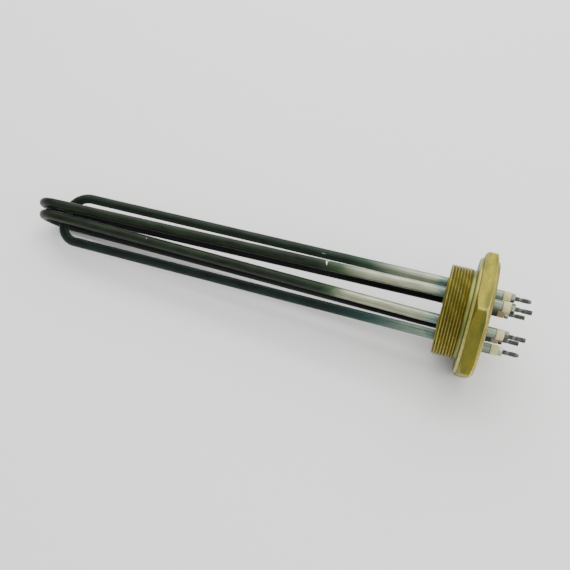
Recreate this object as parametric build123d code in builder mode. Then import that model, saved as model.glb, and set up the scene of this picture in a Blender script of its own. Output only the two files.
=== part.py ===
from build123d import *
import os
from math import cos, radians, sin, tan

# A screw-in immersion heater: a brass hexagon plug with a parallel pipe thread carries three
# hairpin heating tubes on one pitch circle. Millimetres. The heater lies along X with the
# terminals at +X, its thread ends at X = 0 beside the relief groove, and one flat of the
# hexagon is down.

# Plug: threaded spigot, collar, hexagon and round boss, turned from one hexagon bar
THREAD_DIAMETER = 75.184
SPIGOT_LENGTH = 20.4
THREAD_LEAD_IN = 1.2
RELIEF_WIDTH = 3.2
RELIEF_DEPTH = 1.2
COLLAR_DIAMETER = 94.4
COLLAR_THICKNESS = 2.5
COLLAR_CHAMFER = 0.8
HEXAGON_ACROSS_FLATS = 97.0
HEXAGON_THICKNESS = 10.3
HEXAGON_CHAMFER_REACH = 4.4
HEXAGON_CHAMFER_ANGLE = 20.0
BOSS_DIAMETER = 94.0
BOSS_HEIGHT = 2.3
BOSS_CHAMFER = 0.8
BRAZE_GAP = 0.05

# Heating tubes: six legs on one pitch circle, opposite the flats of the hexagon
LEG_COUNT = 6
PITCH_CIRCLE_DIAMETER = 43.6
FIRST_LEG_ANGLE = 30.0
TUBE_DIAMETER = 8.4
TUBE_STAND_OUT = 8.7
KNEE_OFFSET = 12.0
IMMERSED_LENGTH = 386.4
LOWER_SHORTFALL = 3.3
CENTRE_SHORTFALL = 21.9
BEND_RADIUS = 18.2
CENTRE_WIDE_BEND_RADIUS = 20.0
CENTRE_TIGHT_BEND_RADIUS = 14.8

# Terminals: a bush covers each tube end, a nut clamps it on the threaded end of the cold pin
PIN_DIAMETER = 3.2
COLD_LENGTH = 78.0
BUSH_DIAMETER = 8.4
BUSH_LENGTH = 6.0
BUSH_BORE_CLEARANCE = 0.1
STUD_DIAMETER = 4.0
STUD_PITCH_DIAMETER = 3.5
STUD_THREAD_START = 1.5
STUD_REACH = 12.8
STUD_TAPER_LENGTH = 3.0
STUD_TAPER_DEPTH = 1.0
NUT_ACROSS_FLATS = 7.0
NUT_THICKNESS = 3.2
NUT_TURN = 17.0

# Places along X that follow from the sizes
SEALING_FACE = RELIEF_WIDTH
SPIGOT_END = SEALING_FACE - SPIGOT_LENGTH
HEXAGON_START = SEALING_FACE + COLLAR_THICKNESS
HEXAGON_END = HEXAGON_START + HEXAGON_THICKNESS
TERMINAL_FACE = HEXAGON_END + BOSS_HEIGHT
TUBE_END = TERMINAL_FACE + TUBE_STAND_OUT
BUSH_END = TUBE_END + BUSH_LENGTH
NUT_END = BUSH_END + NUT_THICKNESS
STUD_END = NUT_END + STUD_REACH
KNEE = SPIGOT_END - KNEE_OFFSET
PIN_END = SPIGOT_END - COLD_LENGTH

THREAD_RADIUS = THREAD_DIAMETER / 2
RELIEF_RADIUS = THREAD_RADIUS - RELIEF_DEPTH
COLLAR_RADIUS = COLLAR_DIAMETER / 2
BOSS_RADIUS = BOSS_DIAMETER / 2
HEXAGON_CORNER_RADIUS = HEXAGON_ACROSS_FLATS / 2 / cos(radians(30))
PITCH_RADIUS = PITCH_CIRCLE_DIAMETER / 2
LEG_STEP = 360 / LEG_COUNT
TUBE_RADIUS = TUBE_DIAMETER / 2
PIN_RADIUS = PIN_DIAMETER / 2
STUD_RADIUS = STUD_DIAMETER / 2
STUD_PITCH_RADIUS = STUD_PITCH_DIAMETER / 2

# Each hairpin: its two legs, how much shorter than the longest it is, how far each leg leans
# towards the axis beyond the knee in degrees, the bend radius at each leg, and whether its
# studs taper
EVEN_BENDS = (BEND_RADIUS, BEND_RADIUS)
CENTRE_BENDS = (CENTRE_WIDE_BEND_RADIUS, CENTRE_TIGHT_BEND_RADIUS)
HAIRPINS = {
    "centre": dict(
        legs=(1, 4), shortfall=CENTRE_SHORTFALL, lean=(0.32, 0.06), bends=CENTRE_BENDS, taper=True
    ),
    "upper": dict(legs=(2, 6), shortfall=0.0, lean=(0.89, 0.89), bends=EVEN_BENDS, taper=False),
    "lower": dict(
        legs=(3, 5), shortfall=LOWER_SHORTFALL, lean=(1.05, 0.78), bends=EVEN_BENDS, taper=False
    ),
}


def leg_angle(leg):
    """Angle of a leg on the pitch circle, from +Y towards +Z."""
    return FIRST_LEG_ANGLE + (leg - 1) * LEG_STEP


def leg_centre(leg):
    """Centre of a leg in the plug, as (y, z)."""
    angle = radians(leg_angle(leg))
    return PITCH_RADIUS * cos(angle), PITCH_RADIUS * sin(angle)


def lean_direction(hairpin, leg):
    """Unit direction in YZ in which a leg leans: square to its hairpin's width, or along it
    where the two legs face each other across the axis."""
    first, second = (Vector(0, *leg_centre(number)) for number in hairpin["legs"])
    inward = -(first + second)
    if inward.length < PITCH_RADIUS / 2:
        inward = -Vector(0, *leg_centre(leg))
    return inward.normalized()


def leg_point(hairpin, leg, x):
    """Point of a leg's centre line at X = x: straight in the plug, leaning beyond the knee."""
    lean = hairpin["lean"][hairpin["legs"].index(leg)]
    drift = max(0.0, KNEE - x) * tan(radians(lean))
    return Vector(x, *leg_centre(leg)) + lean_direction(hairpin, leg) * drift


def finish(builder, name):
    """Label a finished piece and write it to its own file."""
    builder.part.label = name
    export_step(builder.part, f"parts/{name}.step")


os.makedirs("parts", exist_ok=True)

# Screw plug: the hexagon is chamfered by a turned cone at both ends, then the turned steps join it
with BuildPart() as screw_plug:
    with BuildSketch(Plane.YZ.offset(HEXAGON_START)):
        RegularPolygon(HEXAGON_ACROSS_FLATS / 2, 6, major_radius=False, rotation=0)
    extrude(amount=HEXAGON_THICKNESS)
    chamfer_depth = HEXAGON_CHAMFER_REACH * tan(radians(HEXAGON_CHAMFER_ANGLE))
    chamfer_start = HEXAGON_CORNER_RADIUS - HEXAGON_CHAMFER_REACH
    with BuildSketch(Plane.XZ):
        with BuildLine():
            Polyline(
                (HEXAGON_START, 0),
                (HEXAGON_START, chamfer_start),
                (HEXAGON_START + chamfer_depth, HEXAGON_CORNER_RADIUS),
                (HEXAGON_END - chamfer_depth, HEXAGON_CORNER_RADIUS),
                (HEXAGON_END, chamfer_start),
                (HEXAGON_END, 0),
                close=True,
            )
        make_face()
    revolve(axis=Axis.X, mode=Mode.INTERSECT)
    with BuildSketch(Plane.XZ):
        with BuildLine():
            Polyline(
                (SPIGOT_END, 0),
                (SPIGOT_END, THREAD_RADIUS - THREAD_LEAD_IN),
                (SPIGOT_END + THREAD_LEAD_IN, THREAD_RADIUS),
                (0, THREAD_RADIUS),
                (0, RELIEF_RADIUS),
                (SEALING_FACE, RELIEF_RADIUS),
                (SEALING_FACE, COLLAR_RADIUS - COLLAR_CHAMFER),
                (SEALING_FACE + COLLAR_CHAMFER, COLLAR_RADIUS),
                (HEXAGON_START, COLLAR_RADIUS),
                (HEXAGON_START, 0),
                close=True,
            )
        make_face()
    revolve(axis=Axis.X)
    with BuildSketch(Plane.YZ.offset(HEXAGON_END)):
        Circle(BOSS_RADIUS)
    extrude(amount=BOSS_HEIGHT)
    chamfer(screw_plug.faces().sort_by(Axis.X)[-1].edges(), BOSS_CHAMFER)
    with Locations(Plane.YZ.offset(TERMINAL_FACE)):
        with PolarLocations(PITCH_RADIUS, LEG_COUNT, start_angle=FIRST_LEG_ANGLE):
            Hole(TUBE_RADIUS + BRAZE_GAP)
finish(screw_plug, "screw_plug")

# Heating tubes: one sealed tube per hairpin, bored at each end for its cold pin
for title, hairpin in HAIRPINS.items():
    first, last = hairpin["legs"]
    turn = SEALING_FACE - IMMERSED_LENGTH + hairpin["shortfall"]
    with BuildPart() as heating_tube:
        with BuildLine() as route:
            Line(leg_point(hairpin, first, TUBE_END), leg_point(hairpin, first, KNEE))
            FilletPolyline(
                leg_point(hairpin, first, KNEE),
                leg_point(hairpin, first, turn),
                leg_point(hairpin, last, turn),
                leg_point(hairpin, last, KNEE),
                radius=list(hairpin["bends"]),
            )
            Line(leg_point(hairpin, last, KNEE), leg_point(hairpin, last, TUBE_END))
        with BuildSketch(Plane(route.line @ 0, z_dir=route.line % 0)):
            Circle(TUBE_RADIUS)
        sweep(transition=Transition.RIGHT)
        with Locations(Plane.YZ.offset(TUBE_END)):
            with Locations(*(leg_centre(leg) for leg in hairpin["legs"])):
                Hole(PIN_RADIUS, depth=TUBE_END - PIN_END)
    finish(heating_tube, f"{title}_heating_tube")

# Terminal studs and bushes: the cold pin lies in the tube, its outer end carries the thread. In
# the nut the thread has its pitch diameter, where both threads meet, and beyond it the full one
for hairpin in HAIRPINS.values():
    for leg in hairpin["legs"]:
        y, z = leg_centre(leg)
        thread_start = BUSH_END - STUD_THREAD_START
        with BuildPart() as stud:
            with BuildSketch(Plane.YZ.offset(PIN_END)):
                with Locations((y, z)):
                    Circle(PIN_RADIUS)
            extrude(amount=thread_start - PIN_END)
            with BuildSketch(Plane.YZ.offset(thread_start)):
                with Locations((y, z)):
                    Circle(STUD_PITCH_RADIUS)
            extrude(amount=NUT_END - thread_start)
            with BuildSketch(Plane.YZ.offset(NUT_END)):
                with Locations((y, z)):
                    Circle(STUD_RADIUS)
            extrude(amount=STUD_END - NUT_END)
            if hairpin["taper"]:
                tip = stud.faces().sort_by(Axis.X)[-1]
                chamfer(tip.edges(), STUD_TAPER_DEPTH, STUD_TAPER_LENGTH, reference=tip)
        finish(stud, f"terminal_stud_{leg}")

        with BuildPart() as bush:
            with BuildSketch(Plane.YZ.offset(TUBE_END)):
                with Locations((y, z)):
                    Circle(BUSH_DIAMETER / 2)
                    Circle(STUD_RADIUS + BUSH_BORE_CLEARANCE, mode=Mode.SUBTRACT)
            extrude(amount=BUSH_LENGTH)
        finish(bush, f"insulating_bush_{leg}")

# Terminal nuts: one hexagon nut on each stud, each left at its own turn
with BuildPart() as terminal_nuts:
    with BuildSketch(Plane.YZ.offset(BUSH_END)):
        for leg in range(1, LEG_COUNT + 1):
            with Locations(leg_centre(leg)):
                RegularPolygon(NUT_ACROSS_FLATS / 2, 6, major_radius=False, rotation=NUT_TURN * leg)
                Circle(STUD_PITCH_RADIUS, mode=Mode.SUBTRACT)
    extrude(amount=NUT_THICKNESS)
finish(terminal_nuts, "terminal_nuts")
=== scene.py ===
"""A screw-in immersion heater: brass hexagon plug, three hairpin heating tubes, six terminals.

The heater lies along X with its terminals at +X. Lengths are metres. Every new piece is a
surface worked out as whole arrays: a profile turned round an axis, a circle carried along a
path, or a flat face with round holes.
"""
import logging
import math
from dataclasses import dataclass, field
from enum import Enum

import bmesh
import bpy
import numpy as np
from mathutils import Matrix, Vector


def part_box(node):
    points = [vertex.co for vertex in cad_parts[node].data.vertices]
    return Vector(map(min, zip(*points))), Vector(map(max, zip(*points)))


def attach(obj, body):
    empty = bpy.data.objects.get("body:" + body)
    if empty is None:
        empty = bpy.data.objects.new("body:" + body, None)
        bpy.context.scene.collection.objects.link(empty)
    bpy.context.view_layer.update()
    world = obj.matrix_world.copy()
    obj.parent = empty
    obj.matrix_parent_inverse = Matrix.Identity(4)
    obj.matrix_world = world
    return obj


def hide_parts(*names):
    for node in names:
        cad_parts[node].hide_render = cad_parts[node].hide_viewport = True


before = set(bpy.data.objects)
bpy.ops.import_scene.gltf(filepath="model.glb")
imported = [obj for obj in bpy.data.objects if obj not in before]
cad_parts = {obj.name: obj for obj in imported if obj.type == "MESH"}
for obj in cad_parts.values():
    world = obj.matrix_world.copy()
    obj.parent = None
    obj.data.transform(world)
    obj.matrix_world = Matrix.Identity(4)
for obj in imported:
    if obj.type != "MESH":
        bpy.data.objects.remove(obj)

LOG = logging.getLogger("heater")
MM = 0.001
ROOT = "root"
TURN = 2 * np.pi
PLUG_LOW, PLUG_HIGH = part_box("screw_plug")
SPIGOT_END = PLUG_LOW.x
TERMINAL_FACE = PLUG_HIGH.x
TUBE_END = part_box("insulating_bush_1")[0].x

Colour = tuple[float, float, float, float]
Pair = tuple[float, float]


class Slot(Enum):
    """The record's material slots."""

    BRASS = "plug_brass"
    TUBE = "tube_steel"
    STUD = "stud_steel"
    BUSH = "bush_ceramic"
    NUT = "nut_steel"


class Tip(Enum):
    """How a stud's free end is cut."""

    SQUARE = "square"
    TAPERED = "tapered"


def mm(*parts: float) -> tuple[float, ...]:
    """Turn millimetres into metres."""
    return tuple(part * MM for part in parts)


def tone(red: int, green: int, blue: int) -> Colour:
    """Turn a colour as a screen shows it into the linear colour that shaders use.

    Each part c of 255 becomes c / 12.92 below 0.04045 and ((c + 0.055) / 1.055) ** 2.4 above.

    Args:
        red: red part, 0 to 255.
        green: green part, 0 to 255.
        blue: blue part, 0 to 255.

    Returns:
        Red, green, blue and an alpha of 1.
    """
    parts = np.array([red, green, blue]) / 255
    linear = np.where(parts < 0.04045, parts / 12.92, ((parts + 0.055) / 1.055) ** 2.4)
    return (*linear.tolist(), 1.0)


def round_corners(corners: np.ndarray, radii: np.ndarray, steps: int = 6) -> np.ndarray:
    """Replace each inner corner of an open line by an arc that touches both its runs.

    With unit vectors a and b from the corner P along its runs and the angle 2h between them,
    the arc's centre is P + r / sin(h) * (a + b) / |a + b| and it touches the runs at
    P + r / tan(h) * a and P + r / tan(h) * b. Its points are the centre plus r times the
    spherical blend of the two directions to those touching points.

    Args:
        corners: (n, 2) or (n, 3) points, first and last included.
        radii: one radius per inner corner; 0 keeps the corner.
        steps: runs in each arc.

    Returns:
        The points of the rounded line.
    """
    pieces = [corners[:1]]
    for before, corner, after, radius in zip(corners, corners[1:], corners[2:], radii):
        if radius <= 0:
            pieces.append(corner[None])
            continue
        to_before = (before - corner) / np.linalg.norm(before - corner)
        to_after = (after - corner) / np.linalg.norm(after - corner)
        half = math.acos(float(np.clip(to_before @ to_after, -1, 1))) / 2
        middle = (to_before + to_after) / np.linalg.norm(to_before + to_after)
        centre = corner + middle * radius / math.sin(half)
        start = corner + to_before * radius / math.tan(half) - centre
        end = corner + to_after * radius / math.tan(half) - centre
        sweep = math.pi - 2 * half
        share = np.linspace(0, 1, steps + 1)[:, None]
        arc = (np.sin((1 - share) * sweep) * start + np.sin(share * sweep) * end) / math.sin(sweep)
        pieces.append(centre + arc)
    pieces.append(corners[-1:])
    return np.concatenate(pieces)


def divide_runs(points: np.ndarray, longest: float) -> np.ndarray:
    """Add points on the runs of a line so that none is longer than a length.

    Args:
        points: (n, 3) points.
        longest: longest run allowed.

    Returns:
        The points with the added ones.
    """
    pieces = []
    for start, end in zip(points, points[1:]):
        count = max(1, math.ceil(np.linalg.norm(end - start) / longest))
        pieces.append(start + (end - start) * np.linspace(0, 1, count, endpoint=False)[:, None])
    return np.concatenate([*pieces, points[-1:]])


@dataclass
class Shell:
    """Surfaces gathered into one closed piece, with values stored at their points."""

    name: str
    points: list[np.ndarray] = field(default_factory=list)
    faces: list[np.ndarray] = field(default_factory=list)
    values: dict[str, list[np.ndarray]] = field(default_factory=dict)
    count: int = 0
    seam_reach: float = 0.002 * MM
    sharp_angle: float = math.radians(32)

    def add_grid(self, grid: np.ndarray, turn_over: bool = False, **values: np.ndarray) -> None:
        """Add a grid of points whose second direction closes on itself.

        Face (i, j) joins the points (i, j), (i, j + 1), (i + 1, j + 1) and (i + 1, j).

        Args:
            grid: (rows, columns, 3) points.
            turn_over: True turns the faces round.
            values: one (rows, columns) array per stored value.
        """
        rows, columns = grid.shape[:2]
        index = np.arange(rows * columns).reshape(rows, columns) + self.count
        right = np.roll(index, -1, axis=1)
        quads = np.stack([index[:-1], right[:-1], right[1:], index[1:]], axis=-1).reshape(-1, 4)
        self.faces.append(quads[:, ::-1] if turn_over else quads)
        self.points.append(grid.reshape(-1, 3))
        for key in set(self.values) | set(values):
            stored = self.values.setdefault(key, [np.zeros(self.count)] if self.count else [])
            stored.append(np.broadcast_to(values.get(key, 0.0), (rows, columns)).reshape(-1))
        self.count += rows * columns

    def build(self, slot: Slot, material: bpy.types.Material, *nodes: str) -> bpy.types.Object:
        """Make the object, close its seams, smooth it up to its sharp edges and dress it.

        Args:
            slot: the record's slot for the piece; not used.
            material: its material.
            nodes: the CAD nodes that it stands for.

        Returns:
            The finished object, riding the root body.
        """
        mesh = bpy.data.meshes.new(self.name)
        mesh.from_pydata(np.concatenate(self.points).tolist(), [], np.concatenate(self.faces).tolist())
        for key, parts in self.values.items():
            layer = mesh.attributes.new(key, "FLOAT", "POINT")
            layer.data.foreach_set("value", np.concatenate(parts).astype(np.float32))
        work = bmesh.new()
        work.from_mesh(mesh)
        bmesh.ops.remove_doubles(work, verts=work.verts, dist=self.seam_reach)
        bmesh.ops.recalc_face_normals(work, faces=work.faces)
        work.to_mesh(mesh)
        work.free()
        mesh.shade_smooth()
        mesh.set_sharp_from_angle(angle=self.sharp_angle)
        mesh.materials.append(material)
        piece = bpy.data.objects.new(self.name, mesh)
        bpy.context.scene.collection.objects.link(piece)
        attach(piece, ROOT)
        if nodes:
            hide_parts(*nodes)
        LOG.info("%s: %d faces", self.name, len(mesh.polygons))
        return piece


def turned(
    along: np.ndarray, radius: np.ndarray, angles: np.ndarray, centre: np.ndarray | Pair = (0.0, 0.0)
) -> np.ndarray:
    """Points of a surface round an axis parallel to X.

    Point (i, j) is (x, y0 + r cos t, z0 + r sin t), where x and r are those of row i, or of row
    i and column j where they change round the axis.

    Args:
        along: (rows,) or (rows, columns) places along X.
        radius: (rows,) or (rows, columns) radii.
        angles: (columns,) angles from +Y towards +Z.
        centre: (y0, z0) of the axis, which is the heater's own when left out.

    Returns:
        (rows, columns, 3) points.
    """
    shape = (len(along), len(angles))
    x = np.broadcast_to(along if along.ndim == 2 else along[:, None], shape)
    r = np.broadcast_to(radius if radius.ndim == 2 else radius[:, None], shape)
    return np.stack([x, centre[0] + r * np.cos(angles), centre[1] + r * np.sin(angles)], axis=-1)


def carried_circle(path: np.ndarray, radius: float, across: np.ndarray, columns: int) -> np.ndarray:
    """Points of a round tube along a path.

    The tangent T at a point is the sum of the unit runs before and after it. With the fixed
    direction D square to the path's plane, N = D - (D.T) T made unit, and B = T x N, the ring
    is P + r (cos t N + sin t B).

    Args:
        path: (rows, 3) centre line.
        radius: the tube's radius.
        across: a direction square to the path's plane.
        columns: points round each ring.

    Returns:
        (rows, columns, 3) points.
    """
    runs = np.diff(path, axis=0)
    runs /= np.linalg.norm(runs, axis=1)[:, None]
    tangent = np.concatenate([runs[:1], runs[:-1] + runs[1:], runs[-1:]])
    tangent /= np.linalg.norm(tangent, axis=1)[:, None]
    normal = across - (tangent @ across)[:, None] * tangent
    normal /= np.linalg.norm(normal, axis=1)[:, None]
    other = np.cross(tangent, normal)
    angles = np.linspace(0, TURN, columns, endpoint=False)
    ring = np.cos(angles)[:, None] * normal[:, None] + np.sin(angles)[:, None] * other[:, None]
    return path[:, None] + radius * ring


def hexagon_radius(angles: np.ndarray, across_flats: float, turn: float = 0.0) -> np.ndarray:
    """Distance from a hexagon's centre to its outline in each direction.

    It is (w / 2) / cos(((t - turn) mod 60 deg) - 30 deg), so corners lie at turn + n * 60 deg.

    Args:
        angles: directions.
        across_flats: width w across the flats.
        turn: direction of the first corner.

    Returns:
        One distance per direction.
    """
    sixth = TURN / 6
    return across_flats / 2 / np.cos(np.mod(angles - turn, sixth) - sixth / 2)


def underside(
    grid: np.ndarray, height: float | np.ndarray, radius: float, top: float = 0.3, run: float = 0.6
) -> np.ndarray:
    """How far each point looks down, for the painted shade laid on under sides.

    It is (top - u) / run between 0 and 1, where u is the point's height over the axis in radii.

    Args:
        grid: (rows, columns, 3) points.
        height: the axis's height, or (rows, 1) heights.
        radius: the piece's radius.
        top: where the shade starts, in radii over the axis.
        run: how far below that it is full, in radii.

    Returns:
        (rows, columns) values from 0 to 1.
    """
    return np.clip((top - (grid[..., 2] - height) / radius) / run, 0, 1)


def thread_wave(phase: np.ndarray, sharpness: float = 0.97) -> np.ndarray:
    """Rounded V thread, 1 on the crests and -1 in the roots.

    It is arcsin(k cos(2 pi p)) / arcsin(k): a triangle wave whose corners k rounds.

    Args:
        phase: place along the thread in turns.
        sharpness: k, under 1.

    Returns:
        The wave's height at each place.
    """
    return np.arcsin(sharpness * np.cos(TURN * phase)) / math.asin(sharpness)


class Graph:
    """A node tree with short calls that add and join its nodes."""

    def __init__(self, tree: bpy.types.NodeTree) -> None:
        """Keep the tree that the calls work on."""
        self.tree = tree

    def add(self, kind: str, inputs: dict | None = None, **settings: object) -> bpy.types.Node:
        """Add a node.

        Args:
            kind: the node's type without its ShaderNode start.
            inputs: input name or number to a value, or to the output that feeds it.
            settings: the node's own settings.

        Returns:
            The new node.
        """
        node = self.tree.nodes.new(kind if kind.startswith("Node") else f"ShaderNode{kind}")
        for key, value in settings.items():
            setattr(node, key, value)
        self.feed(node, inputs or {})
        return node

    def feed(self, node: bpy.types.Node, inputs: dict) -> None:
        """Set a node's inputs, or join them to the outputs that feed them.

        Args:
            node: the node.
            inputs: input name or number to a value, or to the output that feeds it.
        """
        for key, value in inputs.items():
            if isinstance(value, bpy.types.NodeSocket):
                self.tree.links.new(value, node.inputs[key])
            else:
                node.inputs[key].default_value = value

    def mix(self, factor: object, first: object, second: object) -> bpy.types.NodeSocket:
        """Mix two colours; the factor 0 gives the first and 1 the second."""
        node = self.add("Mix", {0: factor, 6: first, 7: second}, data_type="RGBA")
        return node.outputs[2]

    def layer(self, base: object, *layers: tuple[object, object]) -> bpy.types.NodeSocket:
        """Lay colours over a base one after the other.

        Args:
            base: the colour underneath, or the output that gives it.
            layers: pairs of a mask and the colour that covers what lies below where it is 1.

        Returns:
            The colour that results.
        """
        for mask, colour in layers:
            base = self.mix(mask, base, colour)
        return base

    def spread(
        self, value: object, low: float = 0.0, high: float = 1.0, to: Pair = (0.0, 1.0)
    ) -> bpy.types.NodeSocket:
        """Stretch a value from the range low to high onto another range, held at its ends.

        Args:
            value: the output that gives it.
            low: where the first end is reached.
            high: where the second end is reached.
            to: the two ends.

        Returns:
            The stretched value.
        """
        names = ("Value", "From Min", "From Max", "To Min", "To Max")
        node = self.add("MapRange", dict(zip(names, (value, low, high, *to))))
        return node.outputs[0]

    def work(self, operation: str, first: object, second: object = 0.0) -> bpy.types.NodeSocket:
        """Work out one value from two with a Math node."""
        return self.add("Math", {0: first, 1: second}, operation=operation).outputs[0]

    def times(self, first: object, second: object) -> bpy.types.NodeSocket:
        """Multiply two values."""
        return self.work("MULTIPLY", first, second)

    def vector(self, operation: str, first: object, second: tuple = (0.0, 0.0, 0.0)) -> bpy.types.Node:
        """Work out a vector or its length with a Vector Math node."""
        return self.add("VectorMath", {0: first, 1: second}, operation=operation)

    def noise(
        self, place: object, size: object, detail: float, roughness: float = 0.5
    ) -> bpy.types.NodeSocket:
        """Read a noise at a place."""
        inputs = {"Vector": place, "Scale": size, "Detail": detail, "Roughness": roughness}
        return self.add("TexNoise", inputs).outputs["Fac"]

    def attribute(self, name: str) -> bpy.types.NodeSocket:
        """Read a value stored at the points."""
        return self.add("Attribute", attribute_name=name).outputs["Fac"]

    def place(self) -> bpy.types.NodeSocket:
        """Read the place on the object."""
        return self.add("TexCoord").outputs["Object"]

    def effect(self, tree: bpy.types.NodeTree, **inputs: float) -> bpy.types.Node:
        """Place a shared node group; its inputs' names have _ for a space."""
        named = {key.replace("_", " "): value for key, value in inputs.items()}
        return self.add("Group", named, node_tree=tree)


GroupParts = tuple[bpy.types.NodeTree, Graph, bpy.types.Node, bpy.types.Node]


def make_group(name: str, inputs: dict[str, float], outputs: dict[str, str]) -> GroupParts:
    """Start a shader node group.

    Args:
        name: the group's name.
        inputs: input name to its value when nothing feeds it.
        outputs: output name to its kind of socket.

    Returns:
        The group, its graph, and its input and output nodes.
    """
    tree = bpy.data.node_groups.new(name, "ShaderNodeTree")
    for key, value in inputs.items():
        socket = tree.interface.new_socket(key, in_out="INPUT", socket_type="NodeSocketFloat")
        socket.default_value = value
    for key, kind in outputs.items():
        tree.interface.new_socket(key, in_out="OUTPUT", socket_type=kind)
    graph = Graph(tree)
    return tree, graph, graph.add("NodeGroupInput"), graph.add("NodeGroupOutput")


@dataclass
class SharedEffects:
    """Node groups that more than one finish uses."""

    noise_range: Pair = (0.35, 0.68)
    noise_roughness: float = 0.62
    patch_detail: float = 5.0
    speck_detail: float = 3.0
    speck_height: float = 0.2 * MM
    ring_range: Pair = (0.3, 0.7)
    ring_detail: float = 2.0
    ring_roughness: float = 0.7
    rubbed_range: Pair = (0.3, 0.62)
    rubbed_detail: float = 3.0
    rubbed_least: float = 0.45
    mottle: bpy.types.NodeTree = field(init=False)
    turning: bpy.types.NodeTree = field(init=False)
    edge_wear_and_highlight: bpy.types.NodeTree = field(init=False)

    def __post_init__(self) -> None:
        """Build the groups once."""
        self.mottle = self.build_mottle()
        self.turning = self.build_turning()
        self.edge_wear_and_highlight = self.build_edge_wear()

    def build_mottle(self) -> bpy.types.NodeTree:
        """Cloudy patches with finer specks in them, as tarnish, oxide and stains have.

        Along X the pattern is drawn out by the stretch.

        Returns:
            A group that gives a patch mask, a speck mask and a bumped normal.
        """
        kinds = {"Patches": "NodeSocketFloat", "Specks": "NodeSocketFloat", "Normal": "NodeSocketVector"}
        sizes = {"Patch Size": 60.0, "Speck Size": 700.0, "Stretch": 1.0, "Depth": 0.1}
        tree, graph, given, out = make_group("mottle", sizes, kinds)
        parts = graph.add("SeparateXYZ", {0: graph.place()}).outputs
        along = graph.work("DIVIDE", parts["X"], given.outputs["Stretch"])
        place = graph.add("CombineXYZ", {"X": along, "Y": parts["Y"], "Z": parts["Z"]}).outputs[0]
        patches, specks = (
            graph.noise(place, given.outputs[size], detail, self.noise_roughness)
            for size, detail in (("Patch Size", self.patch_detail), ("Speck Size", self.speck_detail))
        )
        relief = {"Height": specks, "Strength": given.outputs["Depth"], "Distance": self.speck_height}
        masks = {
            "Patches": graph.spread(patches, *self.noise_range),
            "Specks": graph.spread(specks, *self.noise_range),
        }
        graph.feed(out, {**masks, "Normal": graph.add("Bump", relief).outputs["Normal"]})
        return tree

    def build_turning(self) -> bpy.types.NodeTree:
        """Fine rings that a lathe leaves, unevenly deep, round the X axis.

        The rings follow u = |(y, z)| + x, so they show on faces and on cylinders alike.

        Returns:
            A group that gives the rings as a mask.
        """
        spacing, rings = {"Spacing": 0.35 * MM}, {"Rings": "NodeSocketFloat"}
        tree, graph, given, out = make_group("turning_rings", spacing, rings)
        parts = graph.add("SeparateXYZ", {0: graph.place()}).outputs
        flat = graph.add("CombineXYZ", {"Y": parts["Y"], "Z": parts["Z"]}).outputs[0]
        along = graph.work("ADD", graph.vector("LENGTH", flat).outputs["Value"], parts["X"])
        turns = graph.work("DIVIDE", along, given.outputs["Spacing"])
        line = graph.add("CombineXYZ", {"X": turns}).outputs[0]
        noise = graph.noise(line, 1.0, self.ring_detail, self.ring_roughness)
        graph.feed(out, {"Rings": graph.spread(noise, *self.ring_range)})
        return tree

    def build_edge_wear(self) -> bpy.types.NodeTree:
        """Bright metal where edges and crests are rubbed and where highlights are painted, broken up by
        fine noise.

        It is the stored wear times the noise stretched about its middle.

        Returns:
            A group that gives the wear as a mask.
        """
        tree, graph, given, out = make_group("edge_wear_and_highlight", {"Grain": 500.0}, {"Wear": "NodeSocketFloat"})
        noise = graph.noise(graph.place(), given.outputs["Grain"], self.rubbed_detail)
        broken = graph.spread(noise, *self.rubbed_range, (self.rubbed_least, 1.0))
        graph.feed(out, {"Wear": graph.times(graph.attribute("wear"), broken)})
        return tree


def start_material(name: str) -> tuple[bpy.types.Material, Graph, bpy.types.Node]:
    """Start a material with a lone Principled BSDF.

    Args:
        name: the material's name.

    Returns:
        The material, its graph and its shader.
    """
    material = bpy.data.materials.new(name)
    material.use_nodes = True
    graph = Graph(material.node_tree)
    return material, graph, material.node_tree.nodes["Principled BSDF"]


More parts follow.
